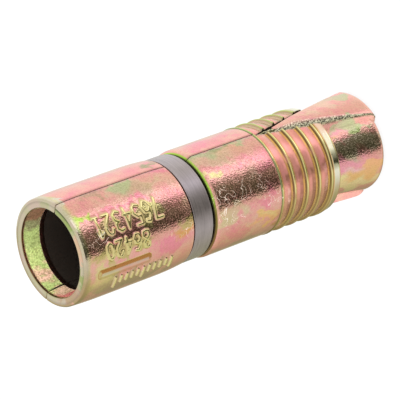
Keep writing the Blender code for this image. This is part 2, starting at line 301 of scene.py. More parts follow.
shell = {
    "boreRadius": 6.0,
    "outsideRadius": 7.75,
    "length": 45.8,
    "mouthRadius": 6.32,
    "mouthDepth": 2.8,
    "boreEdge": (0.02, 0.1),  # the edge between the flare and the bore
    "rimRounding": 0.3,
    "noseDrop": 0.14,
    "noseLength": 4.5,
    "grooveStart": 18.75,
    "grooveEnd": 22.68,
    "grooveRadius": 6.7,
    # the groove's two corners, as depth, strength, tint and shade: painted shade where the band's edges meet
    # it
    "grooveRun": [(18.77, 0.5, "olive", 0.8), (22.68, 0.5, "olive", 0.9)],
    "bodyDrop": 0.2,
    "bodyDropLength": 4.2,
    "lipDrop": 0.6,
    "lipLength": 1.0,
    "throatRadius": 5.2,
    "throatStart": 27.0,
    "throatSlope": 0.8,
    "seatStart": 38.3,
    "seatRearRadius": 6.026,
    "seatChamfer": 0.12,
    # round the mouth, then on the rim: radius past the mouth's or the rim's, depth, strength, tint, shade;
    # the umber line at the mouth's edge and the olive line on the rim are painted shade
    "mouthRun": [
        (-0.06, 0.5),
        (-0.05, 0.24, 0.3, "umber", 0.2),
        (-0.024, 0.08, 0.9, "umber", 0.75),
        (0.0, 0.024, 0.9, "cream", 0.3),
        (0.08, 0.0, 0.5, "cream"),
    ],
    "rimRun": [(-0.5, 0.0), (-0.18, 0.0, 0.2, "olive", 0.25), (-0.05, 0.0, 0.9, "cream")],
    "straw": (1.2, 0.3),  # how deep the straw line goes round the nose, and its strength
    # how strong the lime on the lip behind the groove is, and the shares of the lip where it fades
    "lipLime": (0.95, 0.22, 0.42),
    "lipDark": (0.15, 0.85),  # the share of it next to the groove that gets painted shadow for the gap behind the band, and how dark
    "seamGap": 0.032,  # half the hairline between the halves
    "seamRounding": 0.045,
    "seamSteps": 3,
    "gapShade": 0.95,
    "paleSeam": (0.8, 0.85),  # how deep the seams' painted shade is lessened at the rim, and by how much
    "mouthNick": 0.16,  # how much rounder the seam's corners are at the rim
    "nickLength": 0.55,
    "notchStart": 35.8,
    "notchHalfEnd": 1.958,
    "notchSlope": 0.19,
    "notchRise": (-0.3, 0.5),  # from the notch's start, where its extra width sets in
    "farNotch": 0.13,  # that width on each side, in the plain half and in the marked one
    "nearNotch": 0.06,
    "mouthGap": 0.1,  # how much wider the seams are inside the mouth
    "mouthGapRise": (0.2, 1.6),
    "insideBy": 0.05,  # how far from the mouth's radius and depth the inside and the flare begin
    "nickBy": 0.2,  # how far inside the mouth's radius the corners are still rounder
    "bore": (2.75, 3.0, 45.0, 45.7),  # depths between which the inside gets painted shade, near-black
    "markSpacing": 0.085,
    "bodySpacing": 0.35,
    "boreSpacing": 0.8,
    "columnSpacing": 0.32,
    # how grainy the skin is by turn
    "skin": [
        (-151, 0.3), (24, 0.25), (30, 0.8), (50, 0.8), (66, 1.0), (88, 1.0), (95, 0.6), (104, 0.35),
        (150, 0.4), (209, 0.3),
    ],
    "rimSmooth": 0.5,
    "rimDepth": 0.4,
}

ribs = {
    "count": 4,
    "rise": 0.1,
    "pitch": 2.32,
    "firstCrest": 34.78,
    "depth": 0.42,
    "floorBow": 0.18,
    "floorSteps": 8,
    "landDrop": 0.15,
    "smooth": 0.85,  # how much less grainy than the body
    "endRounding": 0.3,
    # ahead of the first crest: radius past the body's, depth past the crest, strength, tint, shade; the olive
    # line's shade is painted shade at the step
    "ahead": [(0.0, -1.0), (0.0, -0.32), (-0.03, -0.22, 0.9, "olive", 0.4), (0.05, -0.1, 0.9, "leaf")],
    # one side of a ridge, from its crest to the floor: offset, sunk share, tint, shade; the bright gold crest
    # is partly a painted highlight, and the umber lines are painted shade
    "ridge": [
        (0.0, 0.0, "brightGold", 0.0),
        (0.07, 0.04, "brightGold", 0.0),
        (0.13, 0.20, "gold", 0.0),
        (0.19, 0.48, "umber", 0.3),
        (0.27, 0.80, "umber", 0.0),
        (0.36, 0.95, "orange", 0.0),
        (0.46, 1.0, "orange", 0.0),
    ],
    # behind the last crest: radius past the crest's, depth past it, tint, shade; the olive line's shade is
    # painted shade
    "behind": [(-0.03, 0.10, "straw", 0.0), (-0.14, 0.2, "olive", 0.5), (-0.14, 0.32, "orange", 0.0)],
    "landStart": 0.46,  # behind the last crest, and where it stops, ahead of the rounded end
    "landStop": 0.05,
    # the land's ivory is its pale plating made brighter, partly a painted highlight
    "landTint": (0.95, "ivory"),
    "endTint": (0.7, "straw"),
    "farTints": {
        "brightGold": "paleLime", "gold": "goldLime", "umber": "tan", "orange": "tan",
        "straw": "goldLime", "olive": "tan",
    },
    "farStrength": 0.8,
    # how much of the ribs' painted shade the plain half keeps
    "farShade": 0.1,
    "dull": 0.12,  # how much rougher the floors are than the ridges
    "streak": (0.12, 0.42, 0.7),  # where a painted highlight, a coral line, runs along each floor, and its strength
}


def easedRun(start, length, drop, rising, steps=6):
    shares = np.linspace(0.0, 1.0, steps + 1)
    left = 1.0 - shares if rising else shares
    return [(shell["outsideRadius"] - drop * l * l, start + length * s) for l, s in zip(left, shares)]


def shellRun(side):
    # closed section of the wall as (radius, depth, strength, tint, shade), the tint as red, green
    # and blue: an edge takes on that colour as far as the strength says, and shade is painted shade
    def at(radius, depth, strength=0.0, name="salmon", shade=0.0):
        return (radius, depth, strength, *platingTints[name], shade)

    def onRib(radius, depth, name, shade):
        if side > 0:
            return at(radius, depth, 1.0, name, shade)
        return at(radius, depth, ribs["farStrength"], ribs["farTints"][name], shade * ribs["farShade"])

    bore, out, mouthDepth = shell["boreRadius"], shell["outsideRadius"], shell["mouthDepth"]
    rounding, end = shell["rimRounding"], shell["length"]
    run = [at(bore, mouthDepth + shell["boreEdge"][1]), at(bore + shell["boreEdge"][0], mouthDepth)]
    run += [at(shell["mouthRadius"] + past, *rest) for past, *rest in shell["mouthRun"]]
    rimRadius = out - shell["noseDrop"] - rounding
    run += [at(rimRadius + past, *rest) for past, *rest in shell["rimRun"]]
    run += [at(r, s, 1.0, "cream") for r, s in arcRun((rimRadius, rounding), rounding, -90, 0, 6)]
    nose = easedRun(rounding, shell["noseLength"], shell["noseDrop"], True)[1:]
    strawDepth, straw = shell["straw"]
    run += [at(r, s, straw if s < strawDepth else 0.0, "straw") for r, s in nose]
    dropLength = shell["bodyDropLength"]
    body = easedRun(shell["grooveStart"] - dropLength, dropLength, shell["bodyDrop"], False)
    run += [at(r, s) for r, s in body]
    run += [at(shell["grooveRadius"], *rest) for rest in shell["grooveRun"]]
    lip = easedRun(shell["grooveEnd"], shell["lipLength"], shell["lipDrop"], True, 10)
    limeStrength, *limeFade = shell["lipLime"]
    shadedShare, shadeAmount = shell["lipDark"]
    # the lip starts with painted shadow, then turns lime
    for (r, s), share in zip(lip, np.linspace(0.0, 1.0, len(lip))):
        strength = limeStrength * (1.0 - float(smoothStep(*limeFade, share)))
        run.append(at(r, s, strength, "lime", shadeAmount if share < shadedShare else 0.0))

    first, ridge, crestRadius = ribs["firstCrest"], ribs["ridge"], out + ribs["rise"]
    run += [at(out + past, first + along, *rest) for past, along, *rest in ribs["ahead"]]
    foot = ridge[-1][0]
    span = ribs["pitch"] - 2.0 * foot
    highlightFrom, highlightTo, light = ribs["streak"]
    for index in range(ribs["count"] + 1):
        crest = first + index * ribs["pitch"]
        shape = [] if index == 0 else [(-u, *rest) for u, *rest in ridge[:0:-1]]
        shape += ridge if index < ribs["count"] else ridge[:1]
        for u, sunk, name, shade in shape:
            run.append(onRib(crestRadius - ribs["depth"] * sunk, crest + u, name, shade))
        if index < ribs["count"]:
            # each floor bows a little and carries a painted highlight in coral
            for share in np.linspace(0.0, 1.0, ribs["floorSteps"] + 1)[1:-1]:
                sunk = 1.0 - ribs["floorBow"] * math.sin(math.pi * share)
                strength = light if highlightFrom < share < highlightTo else 0.0
                radius = crestRadius - ribs["depth"] * sunk
                run.append(at(radius, crest + foot + span * share, strength, "coral"))
    last = first + ribs["count"] * ribs["pitch"]
    run += [onRib(crestRadius + past, last + along, *rest) for past, along, *rest in ribs["behind"]]
    landRadius, rounding = crestRadius - ribs["landDrop"], ribs["endRounding"]
    run.append(at(crestRadius, last + ribs["landStart"], *ribs["landTint"]))
    run.append(at(landRadius, end - rounding - ribs["landStop"], *ribs["landTint"]))
    corner = arcRun((landRadius - rounding, end - rounding), rounding, 0, 90, 6)
    run += [at(r, s, *ribs["endTint"]) for r, s in corner]
    inner = [
        (shell["seatRearRadius"] + shell["seatChamfer"], end),
        (shell["seatRearRadius"], end - shell["seatChamfer"]),
        (shell["throatRadius"], shell["seatStart"]),
        (shell["throatRadius"], shell["notchStart"]),
        (shell["throatRadius"], shell["throatStart"] + shell["throatSlope"]),
        (bore, shell["throatStart"]),
    ]
    return run + [at(r, s) for r, s in inner]


def skinAt(points, depth):
    # how grainy the surface is, from its turn and depth: the ribs and the far side are smooth
    turn = turnOf(points)
    turn = (turn + 151.0) % 360.0 - 151.0
    skin = np.interp(turn, *zip(*shell["skin"]))
    onRibs = smoothStep(ribs["firstCrest"] - 0.4, ribs["firstCrest"], depth)
    onRim = depth < shell["rimDepth"]
    return skin * (1.0 - ribs["smooth"] * onRibs) * (1.0 - shell["rimSmooth"] * onRim)


def halfGap(profile, side):
    # half the space between the halves: a hairline, wider inside the mouth, then the notch that
    # the wing slides in
    radius, depth = profile[:, 0], profile[:, 1]
    line = shell["notchHalfEnd"] - shell["notchSlope"] * (shell["length"] - depth)
    inMouth = (radius < shell["mouthRadius"] - 0.02) & (depth < shell["mouthDepth"] + 1.0)
    wider = shell["nearNotch"] if side > 0 else shell["farNotch"]
    riseFrom, riseTo = shell["notchRise"]
    atNotch = smoothStep(shell["notchStart"] + riseFrom, shell["notchStart"] + riseTo, depth)
    gap = np.maximum(shell["seamGap"], line)
    gap = gap + shell["mouthGap"] * inMouth * smoothStep(*shell["mouthGapRise"], depth)
    return gap + wider * atNotch


# raised marks: a plain scale of digits and ticks, and a bar

marks = {
    "zone": (1.0, 16.0),  # the depths they lie between, and the turns
    "turns": (58.0, 143.0),
    "height": 0.25,
    "tint": ("straw", 0.8),
    "smooth": 0.8,
    "strokeWidth": 0.42,
    "edgeWidth": 0.2,
    "slant": 0.05,
    # digit order, first centre depth, pitch, upper turn, lower turn, width of a digit
    "rows": [
        ("7654321", 13.3, -1.64, 61.0, 81.5, 1.12),
        ("86420", 10.4, -1.54, 89.0, 105.5, 1.04),
    ],
    # first depth, last, pitch, top turn, short end, long end, and how many ticks to a long one
    "ticks": (5.2, 14.9, 0.97, 128.5, 136.0, 141.5, 5),
    "tickDull": (0.4, 116.0, 124.0),  # how dull the ticks are, and the turns where that sets in
    "bar": (1.9, 11.3, 118.6, 13.5),  # first depth, last depth, middle turn, width in turn
    "barHeight": 0.17,
    "barEdge": 0.8,
    "barCorner": 0.7,
    "barDull": (0.5, 0.95),  # how dull its upper slope is, and the height where the flat top begins
    "barTint": ("ash", 0.93, 1.0),  # the flat top's tint, and the heights where it sets in
    # its upper side, from its middle, and how far its end counts as that too
    "barUpper": (-0.2, 0.3, 0.9),
    "barSlope": [(0.0, 0.1, "straw"), (0.1, 0.92, "rust")],
    "slopeBlend": 0.06,
    "slopeFoot": 0.08,
    "barEnd": ("gold", 0.9, 0.8, 0.02, 0.2),  # tint, strength, length, and the heights where it sets in
}

# each digit as strokes of points, x to the right and y upwards, both from 0 to 1
digitStrokes = {
    "0": [[
        (0.5, 0), (0.12, 0.14), (0, 0.5), (0.12, 0.86), (0.5, 1), (0.88, 0.86), (1, 0.5), (0.88, 0.14),
        (0.5, 0),
    ]],
    "1": [[(0.15, 0.78), (0.55, 1), (0.55, 0)], [(0.2, 0), (0.9, 0)]],
    "2": [[(0.02, 0.78), (0.2, 0.95), (0.5, 1), (0.85, 0.92), (1, 0.72), (0.8, 0.45), (0, 0), (1, 0)]],
    "3": [[
        (0.05, 0.95), (0.5, 1), (0.95, 0.85), (0.9, 0.6), (0.45, 0.53), (0.95, 0.42), (1, 0.15), (0.5, 0),
        (0.02, 0.08),
    ]],
    "4": [[(0.72, 0), (0.72, 1), (0, 0.3), (1, 0.3)]],
    "5": [[(0.95, 1), (0.12, 1), (0.06, 0.58), (0.55, 0.62), (1, 0.42), (0.95, 0.12), (0.5, 0), (0, 0.08)]],
    "6": [[
        (0.9, 0.95), (0.5, 1), (0.1, 0.75), (0, 0.3), (0.2, 0.04), (0.7, 0), (1, 0.25), (0.8, 0.52),
        (0.3, 0.54), (0.02, 0.35),
    ]],
    "7": [[(0.02, 1), (1, 1), (0.4, 0)]],
    "8": [[
        (0.5, 0.53), (0.08, 0.7), (0.15, 0.95), (0.5, 1), (0.85, 0.95), (0.92, 0.7), (0.5, 0.53), (0, 0.3),
        (0.1, 0.04), (0.5, 0), (0.9, 0.04), (1, 0.3), (0.5, 0.53),
    ]],
}


def arcLength(turn):
    return math.radians(1.0) * shell["outsideRadius"] * turn


def markStrokes():
    # every stroke as a pair of ends in (depth, arc length round the shell)
    pairs = []
    for digits, firstDepth, pitch, upper, lower, width in marks["rows"]:
        for index, digit in enumerate(digits):
            middle = firstDepth + pitch * index
            for stroke in digitStrokes[digit]:
                line = []
                for x, y in stroke:
                    turn = upper + (lower - upper) * y  # heads point down, as the row is read from the rear
                    line.append((middle - (x - 0.5) * width + marks["slant"] * (y - 0.5), arcLength(turn)))
                pairs += list(zip(line, line[1:]))
    first, last, pitch, top, shortEnd, longEnd, every = marks["ticks"]
    for index in range(int(round((last - first) / pitch)) + 1):
        depth = first + pitch * index
        end = longEnd if index % every == 0 else shortEnd
        pairs.append(((depth, arcLength(top)), (depth, arcLength(end))))
    return np.array(pairs)


def distanceToStrokes(depth, around, pairs):
    nearest = np.full(depth.shape, np.inf)
    for (x0, y0), (x1, y1) in pairs:
        dx, dy = x1 - x0, y1 - y0
        share = np.clip(((depth - x0) * dx + (around - y0) * dy) / (dx * dx + dy * dy), 0.0, 1.0)
        nearest = np.minimum(nearest, np.hypot(depth - x0 - share * dx, around - y0 - share * dy))
    return nearest


def markRelief(depth, turn):
    # how far the marks stand up, from 0 to 1, how far the bar does, and which of it is its upper side
    around = np.radians(turn) * shell["outsideRadius"]
    toStroke = distanceToStrokes(depth, around, markStrokes())
    half, halfEdge = marks["strokeWidth"] / 2.0, marks["edgeWidth"] / 2.0
    strokes = 1.0 - smoothStep(half - halfEdge, half + halfEdge, toStroke)
    first, last, middle, width = marks["bar"]
    corner, fromMiddle = marks["barCorner"], around - arcLength(middle)
    across = np.abs(fromMiddle) - (arcLength(width) / 2.0 - corner)
    along = np.abs(depth - (first + last) / 2.0) - ((last - first) / 2.0 - corner)
    toBar = np.hypot(np.maximum(across, 0.0), np.maximum(along, 0.0)) - corner
    bar = 1.0 - smoothStep(-marks["barEdge"], 0.0, toBar)
    upperFrom, upperTo, endLength = marks["barUpper"]
    upper = 1.0 - smoothStep(upperFrom, upperTo, fromMiddle)
    return strokes, bar, np.maximum(upper, 1.0 - smoothStep(first, first + endLength, depth))


def columnTurns(side):
    # turns of the mesh columns from one seam to the other, close together under the marks
    start = anchor["seamTurn"] if side > 0 else anchor["seamTurn"] - 180.0
    step = math.degrees(shell["columnSpacing"] / shell["outsideRadius"])
    fineStep = math.degrees(shell["markSpacing"] / shell["outsideRadius"])
    fineFrom, fineTo = marks["turns"]
    turns, here = [], start
    while here < start + 180.0 - step * 0.5:
        turns.append(here)
        here += fineStep if side > 0 and fineFrom <= here <= fineTo else step
    turns.append(start + 180.0)
    return np.array(turns)


# a half's coats over its spots
trim = {
    "edgeCover": (1.1, (0.35, 2.2, 21)),  # how well the edges' own tints cover, and how that wanders
    "underneath": (95.0, 130.0, "goldBrown", 0.7),  # what the edges turn to, past these turns
    # place, tint, strength, and the turns between which it sets in and fades
    "coats": [
        ("lip", "umber", 0.85, (78.0, 100.0), ()),
        ("land", "peach", 0.8, (), (50.0, 62.0)),
        ("land", "olive", 0.6, (74.0, 82.0), (94.0, 100.0)),
    ],
    "lipWidth": 0.34,
    "landWidth": 1.4,
    "rim": 0.85,
    # the painted shade line on the marked half's rim: the turns between which it fades, and its shade
    "rimLine": (48.0, 66.0, 0.8),
    "rimLineInset": 0.18,
    "edgeInset": 0.45,  # how far inside the outline the rim's face ends, and the land begins
    "rimLineWidth": 0.02,
    "onRim": 0.01,  # the greatest depth of the rim's face
    "torn": (-0.7, -0.2),  # from the notch's start, where its edge gets rough
    "floor": 0.75,  # share of the ribs' depth below which the floors are dull
    "floorEnd": 0.3,
}


def halfCoats(points, there, side):
    # the coats over a half's spots, in order; there holds what is known of each point
    depth, radius, turn = there["depth"], there["radius"], turnOf(points)
    outside = shell["outsideRadius"] - trim["edgeInset"]
    edgeCover, edgeWaves = trim["edgeCover"]
    edges = there["strength"] * np.clip(edgeCover + astray(points, (edgeWaves,)), 0.0, 1.0)
    brownFrom, brownTo, brown, brownShare = trim["underneath"]
    below = brownShare * smoothStep(brownFrom, brownTo, turn)[:, None]
    edgeTint = there["tint"] * (1.0 - below) + np.array(platingTints[brown]) * below
    places = {
        "lip": (depth >= shell["grooveEnd"]) & (depth < shell["grooveEnd"] + trim["lipWidth"]),
        "land": (depth > shell["length"] - trim["landWidth"]) & (radius > outside) & (side > 0),
    }
    onRim = (depth < trim["onRim"]) & (radius < outside - shell["noseDrop"])
    rimTint, _ = turnTintAt(points, "cream", tint["rimSpots"] if side > 0 else tint["farRimSpots"])
    flareTint, _ = turnTintAt(points, "salmon", tint["flareSpots"])
    markTint, markShare = marks["tint"]
    coats = [(edgeTint, edges)]
    for place, paint, strength, rise, fade in trim["coats"]:
        share = strength * places[place]
        if rise:
            share = share * smoothStep(*rise, turn)
        if fade:
            share = share * (1.0 - smoothStep(*fade, turn))
        coats.append((paint, share))
    coats += [
        (rimTint, trim["rim"] * onRim),
        (flareTint, there["flare"]),
        (markTint, markShare * there["raised"]),
    ]
    for low, high, paint in marks["barSlope"]:
        share = window(low - marks["slopeBlend"], low, high, high + marks["slopeBlend"], there["bar"])
        coats.append((paint, there["slope"] * share))
    first, (endTint, endShare, endLength, *endRise) = marks["bar"][0], marks["barEnd"]
    atEnd = there["bar"] * (1.0 - smoothStep(first, first + endLength, depthOf(points)))
    coats.append((endTint, endShare * smoothStep(*endRise, atEnd)))
    topTint, *topRise = marks["barTint"]
    coats.append((topTint, smoothStep(*topRise, there["bar"])))
    return coats


def halfMarks(points, there, side):
    # what the plating reads on a half, besides its tint
    depth, radius, inside, turn = there["depth"], there["radius"], there["inside"], turnOf(points)
    fadeFrom, fadeTo, lineShade = trim["rimLine"]
    lineRadius = shell["outsideRadius"] - shell["noseDrop"] - shell["rimRounding"] - trim["rimLineInset"]
    onLine = (depth < trim["onRim"]) & (np.abs(radius - lineRadius) < trim["rimLineWidth"]) & (side > 0)
    line = lineShade * onLine * (1.0 - smoothStep(fadeFrom, fadeTo, turn))
    flareShade = turnTintAt(points, "salmon", tint["flareSpots"])[1] * there["flare"]
    # painted shade deep in the bore
    bore = window(*shell["bore"], depth) * inside
    tickDull, *tickTurns = marks["tickDull"]
    ticks = tickDull * there["raised"] * smoothStep(*tickTurns, turn)
    barDull, barFlat = marks["barDull"]
    slope = barDull * there["slope"] * (there["bar"] < barFlat)
    floorRadius = shell["outsideRadius"] + ribs["rise"] - trim["floor"] * ribs["depth"]
    firstCrest, lastCrest = ribs["firstCrest"], ribs["firstCrest"] + ribs["count"] * ribs["pitch"]
    onFloor = (depth > firstCrest + trim["floorEnd"]) & (depth < lastCrest - trim["floorEnd"])
    onFloor &= (radius < floorRadius) & ~inside
    tornFrom, tornTo = trim["torn"]
    atNotch = smoothStep(shell["notchStart"] + tornFrom, shell["notchStart"] + tornTo, depth)
    return {
        "skin": skinAt(points, depth) * (1.0 - marks["smooth"] * there["raised"]) * (1.0 - there["bar"]),
        "dull": np.maximum.reduce([onFloor.astype(float), slope, ticks]),
        "scuff": scuffAt(points, tint["scuffSpots"]) * (side > 0),
        # inner is painted shade: in the bore, at the seams, on the mouth's flare, in the rim's dark line and
        # along the dark edge lines
        "inner": np.maximum.reduce([bore, there["shade"], there["gapShade"], flareShade, line]),
        "flare": there["flare"],
        "sheared": there["edge"] * atNotch * (side > 0) * ~inside,
    }


def makeHalf(name, side, spots):
    def spacingAt(radius, depth):
        if radius < shell["mouthRadius"]:
            return shell["boreSpacing"]
        onMarks = side > 0 and marks["zone"][0] < depth < marks["zone"][1]
        return shell["markSpacing"] if onMarks else shell["bodySpacing"]

    run = refine(shellRun(side), spacingAt)
    profile = run[:, :2]
    normals = outwardNormals(profile)
    gap = halfGap(profile, side)
    outside = profile[:, 0] > shell["mouthRadius"] - shell["insideBy"]
    nick = shell["mouthNick"] * np.exp(-((profile[:, 1] / shell["nickLength"]) ** 2))
    rounding = shell["seamRounding"] + nick * (profile[:, 0] > shell["mouthRadius"] - shell["nickBy"])
    paleDepth, paleShare = shell["paleSeam"]
    pale = paleShare * np.exp(-((profile[:, 1] / paleDepth) ** 2)) * (profile[:, 0] > shell["mouthRadius"])

    # columns as (share, edge): share runs from -1 at one seam to 1 at the other, and edge from 0
    # on the seam's face to 1 past its rounding
    turns = columnTurns(side)
    middle = (turns[0] + turns[-1]) / 2.0
    edges = np.linspace(0.0, 1.0, shell["seamSteps"] + 1)[:-1]
    columns = [(-1.0, edge) for edge in edges]
    columns += [(share, 1.0) for share in (turns[1:-1] - middle) / 90.0]
    columns += [(1.0, edge) for edge in edges[::-1]]
    points, reliefs, gapShades = [], [], []
    for share, edge in columns:
        drop = rounding * (1.0 - math.sqrt(1.0 - (1.0 - edge) ** 2))
        section = profile - normals * drop[:, None]
        radius, depth = section[:, 0], section[:, 1]
        angle = share * np.arccos(np.clip((gap + rounding * edge) / radius, -1.0, 1.0))
        turn = middle + np.degrees(angle)
        relief = np.zeros((3, len(radius)))
        if side > 0 and edge == 1.0:
            here = outside & (depth > marks["zone"][0]) & (depth < marks["zone"][1])
            relief[:, here] = markRelief(depth[here], turn[here])
        radius = radius + np.maximum(marks["height"] * relief[0], marks["barHeight"] * relief[1])
        world = partAngle(turn)
        height = anchor["length"] - depth
        points.append(np.stack([radius * np.cos(world), radius * np.sin(world), height], axis=1))
        reliefs.append(relief)
        gapShades.append(shell["gapShade"] * (1.0 - edge) * (1.0 - pale))
    rows, count = len(profile), len(columns)
    points = np.stack(points, axis=1).reshape(-1, 3)
    raised, bar, upper = np.stack(reliefs, axis=2).reshape(3, -1)

    spread = np.repeat(run, count, axis=0)
    inside = spread[:, 0] < shell["mouthRadius"] - shell["insideBy"]
    there = {
        "radius": spread[:, 0],
        "depth": spread[:, 1],
        "strength": spread[:, 2],
        "tint": spread[:, 3:6],
        "shade": spread[:, 6],
        "inside": inside,
        "flare": (inside & (spread[:, 1] < shell["mouthDepth"] + shell["insideBy"])).astype(float),
        "edge": np.tile([float(edge < 1.0) for _, edge in columns], rows),
        "gapShade": np.stack(gapShades, axis=1).ravel(),
        "raised": raised,
        "bar": bar,
        "slope": smoothStep(0.0, marks["slopeFoot"], bar) * upper,
    }
    colour, cover = layCoats(tintAt(points, spots), halfCoats(points, there, side))

    # the faces of the grid, and two caps on each seam, which meet where the notch starts
    faces = gridFaces(rows, count, True, False)
    offNotch, outer = np.abs(profile[:, 1] - shell["notchStart"]), profile[:, 0] > shell["boreRadius"]
    rearRow = int(np.argmin(np.where(outer, offNotch, np.inf)))
    throatRow = int(np.argmin(np.where(outer, np.inf, offNotch)))
    frontLoop = list(range(throatRow, rows)) + list(range(0, rearRow + 1))
    rearLoop = list(range(rearRow, throatRow + 1))
    for loop in (frontLoop, rearLoop):
        faces.append([row * count for row in loop])
        faces.append([row * count + count - 1 for row in reversed(loop)])
    given = {"tint": colour, "cover": cover, **halfMarks(points, there, side)}
    return makePiece(name, points, faces, withPlating(len(points), given), 50.0)


# retaining band

band = {
    "start": 19.05,
    "width": 3.2,
    "inside": 7.0486,
    "outside": 7.4786,
    "edge": 0.09,
    "spacing": 0.4,
    "columns": 256,
}


def makeBand(name):
    edge, start, end = band["edge"], band["start"], band["start"] + band["width"]
    run = [(band["inside"], start), (band["outside"] - edge, start)]
    run += arcRun((band["outside"] - edge, start + edge), edge, -90, 0, 4)[1:]
    run += arcRun((band["outside"] - edge, end - edge), edge, 0, 90, 4)
    run += [(band["inside"], end)]
    profile = refine(run, lambda radius, depth: band["spacing"])
    angles = np.linspace(0.0, math.tau, band["columns"], endpoint=False)
    radius, height = profile[:, :1], anchor["length"] - profile[:, 1:]
    across = [radius * np.cos(angles), radius * np.sin(angles), np.repeat(height, len(angles), axis=1)]
    points = np.stack(across, axis=2).reshape(-1, 3)
    faces = gridFaces(len(profile), band["columns"], True, True)
    return makePiece(name, points, faces, {}, 50.0)


# expander cone: a closed grid, its rows running round the section and its columns round the axis

cone = {
    "length": 18.0,
    "rearRadius": 6.87,
    "taper": 8.0,
    "rounding": 1.1,
    "frontChamfer": 0.3,
    "boreRadius": 3.4,
    "boreChamfer": 0.5,
    "boreShade": (0.2, 0.75, 0.4),  # painted shade in the bore: on the front chamfer, the thread, and the rear chamfer
    "threadDepth": 0.6,
    "threadPitch": 1.25,
    "threadSteps": 11,
    "threadCrest": 0.12,  # the share of the pitch that a crest takes, and a root
    "threadFade": (0.3, 1.2, 1.0, 0.2),  # heights where it starts, and how far from the front it ends
    "arcColumns": 22,
    "filletColumns": 4,
    "flankColumns": 7,
    "shoulderColumns": 6,
    "topColumns": 12,
    "rearHeights": (0.0, 0.02, 0.06, 0.12),
    "skin": [(-60, 0.35), (50, 0.35), (64, 1.0), (94, 1.0), (104, 0.45), (299, 0.35)],
    "dullFoot": 1.8,
    "dullTurns": (17.0, 22.0, 30.0, 37.0),  # from the middle of a wing
    "dullDepths": (44.5, 46.5, 54.8, 55.2),
}

wing = {
    "start": 0.2,
    "length": 16.8,
    "tip": 0.38,
    "flare": 10.76,
    "topRadius": 7.75,
    "rounding": 1.2,
    "roundingRows": 8,
    "rows": 52,
    "flat": 13.0,
    "noseSlope": 4.0,
    "shoulderWidth": 1.1,
    "shoulderSlope": 35.0,
    "edge": 0.08,
    "edgeSlope": 45.0,
    "flankTorn": (0.55, 0.9),  # shares of a sheared flank between which it gets rough
    "fillet": 0.6,
    "filletEnd": 6.6,
    "filletRun": 0.8,
    "least": 0.03,  # the least fillet, and the least half width of the top
}

# the thin torn point ahead of each wing
spur = {
    "root": 0.3,
    "length": 2.6,
    "inset": 0.03,
    "tip": 0.05,
    "bottom": 6.4,
    "steps": 14,
    "seed": 11,
    "topInset": 0.02,
    "topDrop": 0.05,
    "topTorn": 0.05,
    "sideTorn": 0.02,
    # a section's corners above its bottom: share of the half width, how far below the top, and
    # which way the torn side moves them
    "corners": [(1.0, 0.16, 1.0), (0.55, 0.0, 0.0), (-0.6, 0.0, 0.0), (-1.0, 0.1, -1.0)],
    "sheared": 0.8,
}


def roundedInset(rounding, height):
    rise = max(0.0, rounding - height)
    return rounding - math.sqrt(max(0.0, rounding**2 - rise**2))


def coneRadius(height):
    taper = max(0.0, height - cone["rounding"]) * math.tan(math.radians(cone["taper"]))
    return cone["rearRadius"] - taper - roundedInset(cone["rounding"], height)


def wingTop(height):
    nose = max(0.0, height - wing["flat"]) * math.tan(math.radians(wing["noseSlope"]))
    return wing["topRadius"] - nose - roundedInset(wing["rounding"], height)


def halfSection(height, winged, sheared):
    # half of a wing's share of the outline, from +X to +Y, as (x, y, mark); the wing is centred
    # on +Y, and a sheared side has a sloping shoulder
    def onCone(angles):
        return [(radius * math.cos(a), radius * math.sin(a), 0.0) for a in angles]

    radius = coneRadius(height)
    halfWidth = wing["tip"] + (wing["length"] - height) * math.tan(math.radians(wing["flare"]))
    runIn = min(1.0, (wing["filletEnd"] - height) / wing["filletRun"])
    fillet = max(wing["least"], wing["fillet"] * runIn * height / wing["filletEnd"])
    foot = halfWidth + fillet
    footAngle = math.acos(foot / radius)
    section = onCone(np.linspace(0.0, footAngle, cone["arcColumns"] + 1))
    wingCount = cone["filletColumns"] + cone["flankColumns"] + cone["shoulderColumns"] + cone["topColumns"]
    if not winged:
        return section + onCone(np.linspace(footAngle, math.pi / 2.0, wingCount + 1)[1:])
    level = math.sqrt(radius**2 - foot**2)
    rounded = arcRun((foot, level + fillet), fillet, -90, -180, cone["filletColumns"])
    section += [(x, y, 0.0) for x, y in rounded[1:]]
    shoulder = wing["shoulderWidth"] * height / wing["flat"] if sheared else wing["edge"]
    slope = wing["shoulderSlope"] if sheared else wing["edgeSlope"]
    topHalf = max(wing["least"], halfWidth - shoulder)
    drop = (halfWidth - topHalf) * math.tan(math.radians(slope))
    topEdge = math.sqrt(wingTop(height) ** 2 - topHalf**2)
    base, corner = level + fillet, topEdge - drop
    for share in np.linspace(0.0, 1.0, cone["flankColumns"] + 1)[1:]:
        mark = sheared * float(smoothStep(*wing["flankTorn"], share))
        section.append((halfWidth, base + (corner - base) * share, mark))
    for share in np.linspace(0.0, 1.0, cone["shoulderColumns"] + 1)[1:]:
        across = halfWidth + (topHalf - halfWidth) * share
        section.append((across, corner + (topEdge - corner) * share, sheared * (1.0 - share**3)))
    for share in np.linspace(1.0, 0.0, cone["topColumns"] + 1)[1:]:
        across = topHalf * share
        section.append((across, math.sqrt(wingTop(height) ** 2 - across**2), 0.0))
    return section


def ringOf(height, winged):
    # the whole outline: the sheared side of each wing faces +X on +Y, and the other way half a turn on
    first = halfSection(height, winged, True)
    second = [(-x, y, m) for x, y, m in reversed(halfSection(height, winged, False)[:-1])]
    half = first + second
    return half[:-1] + [(-x, -y, m) for x, y, m in half[:-1]]


def threadRadius(height, angle):
    # a right-handed internal thread: flat crests at the bore, roots cut outwards
    phase = (height / cone["threadPitch"] - angle / math.tau) % 1.0
    flat = cone["threadCrest"]
    rise = np.clip((np.abs(2.0 * phase - 1.0) - flat) / (1.0 - 2.0 * flat), 0.0, 1.0)
    riseFrom, riseTo, fallFrom, fallTo = cone["threadFade"]
    fade = window(riseFrom, riseTo, cone["length"] - fallFrom, cone["length"] - fallTo, height)
    return cone["boreRadius"] + cone["threadDepth"] * rise * fade


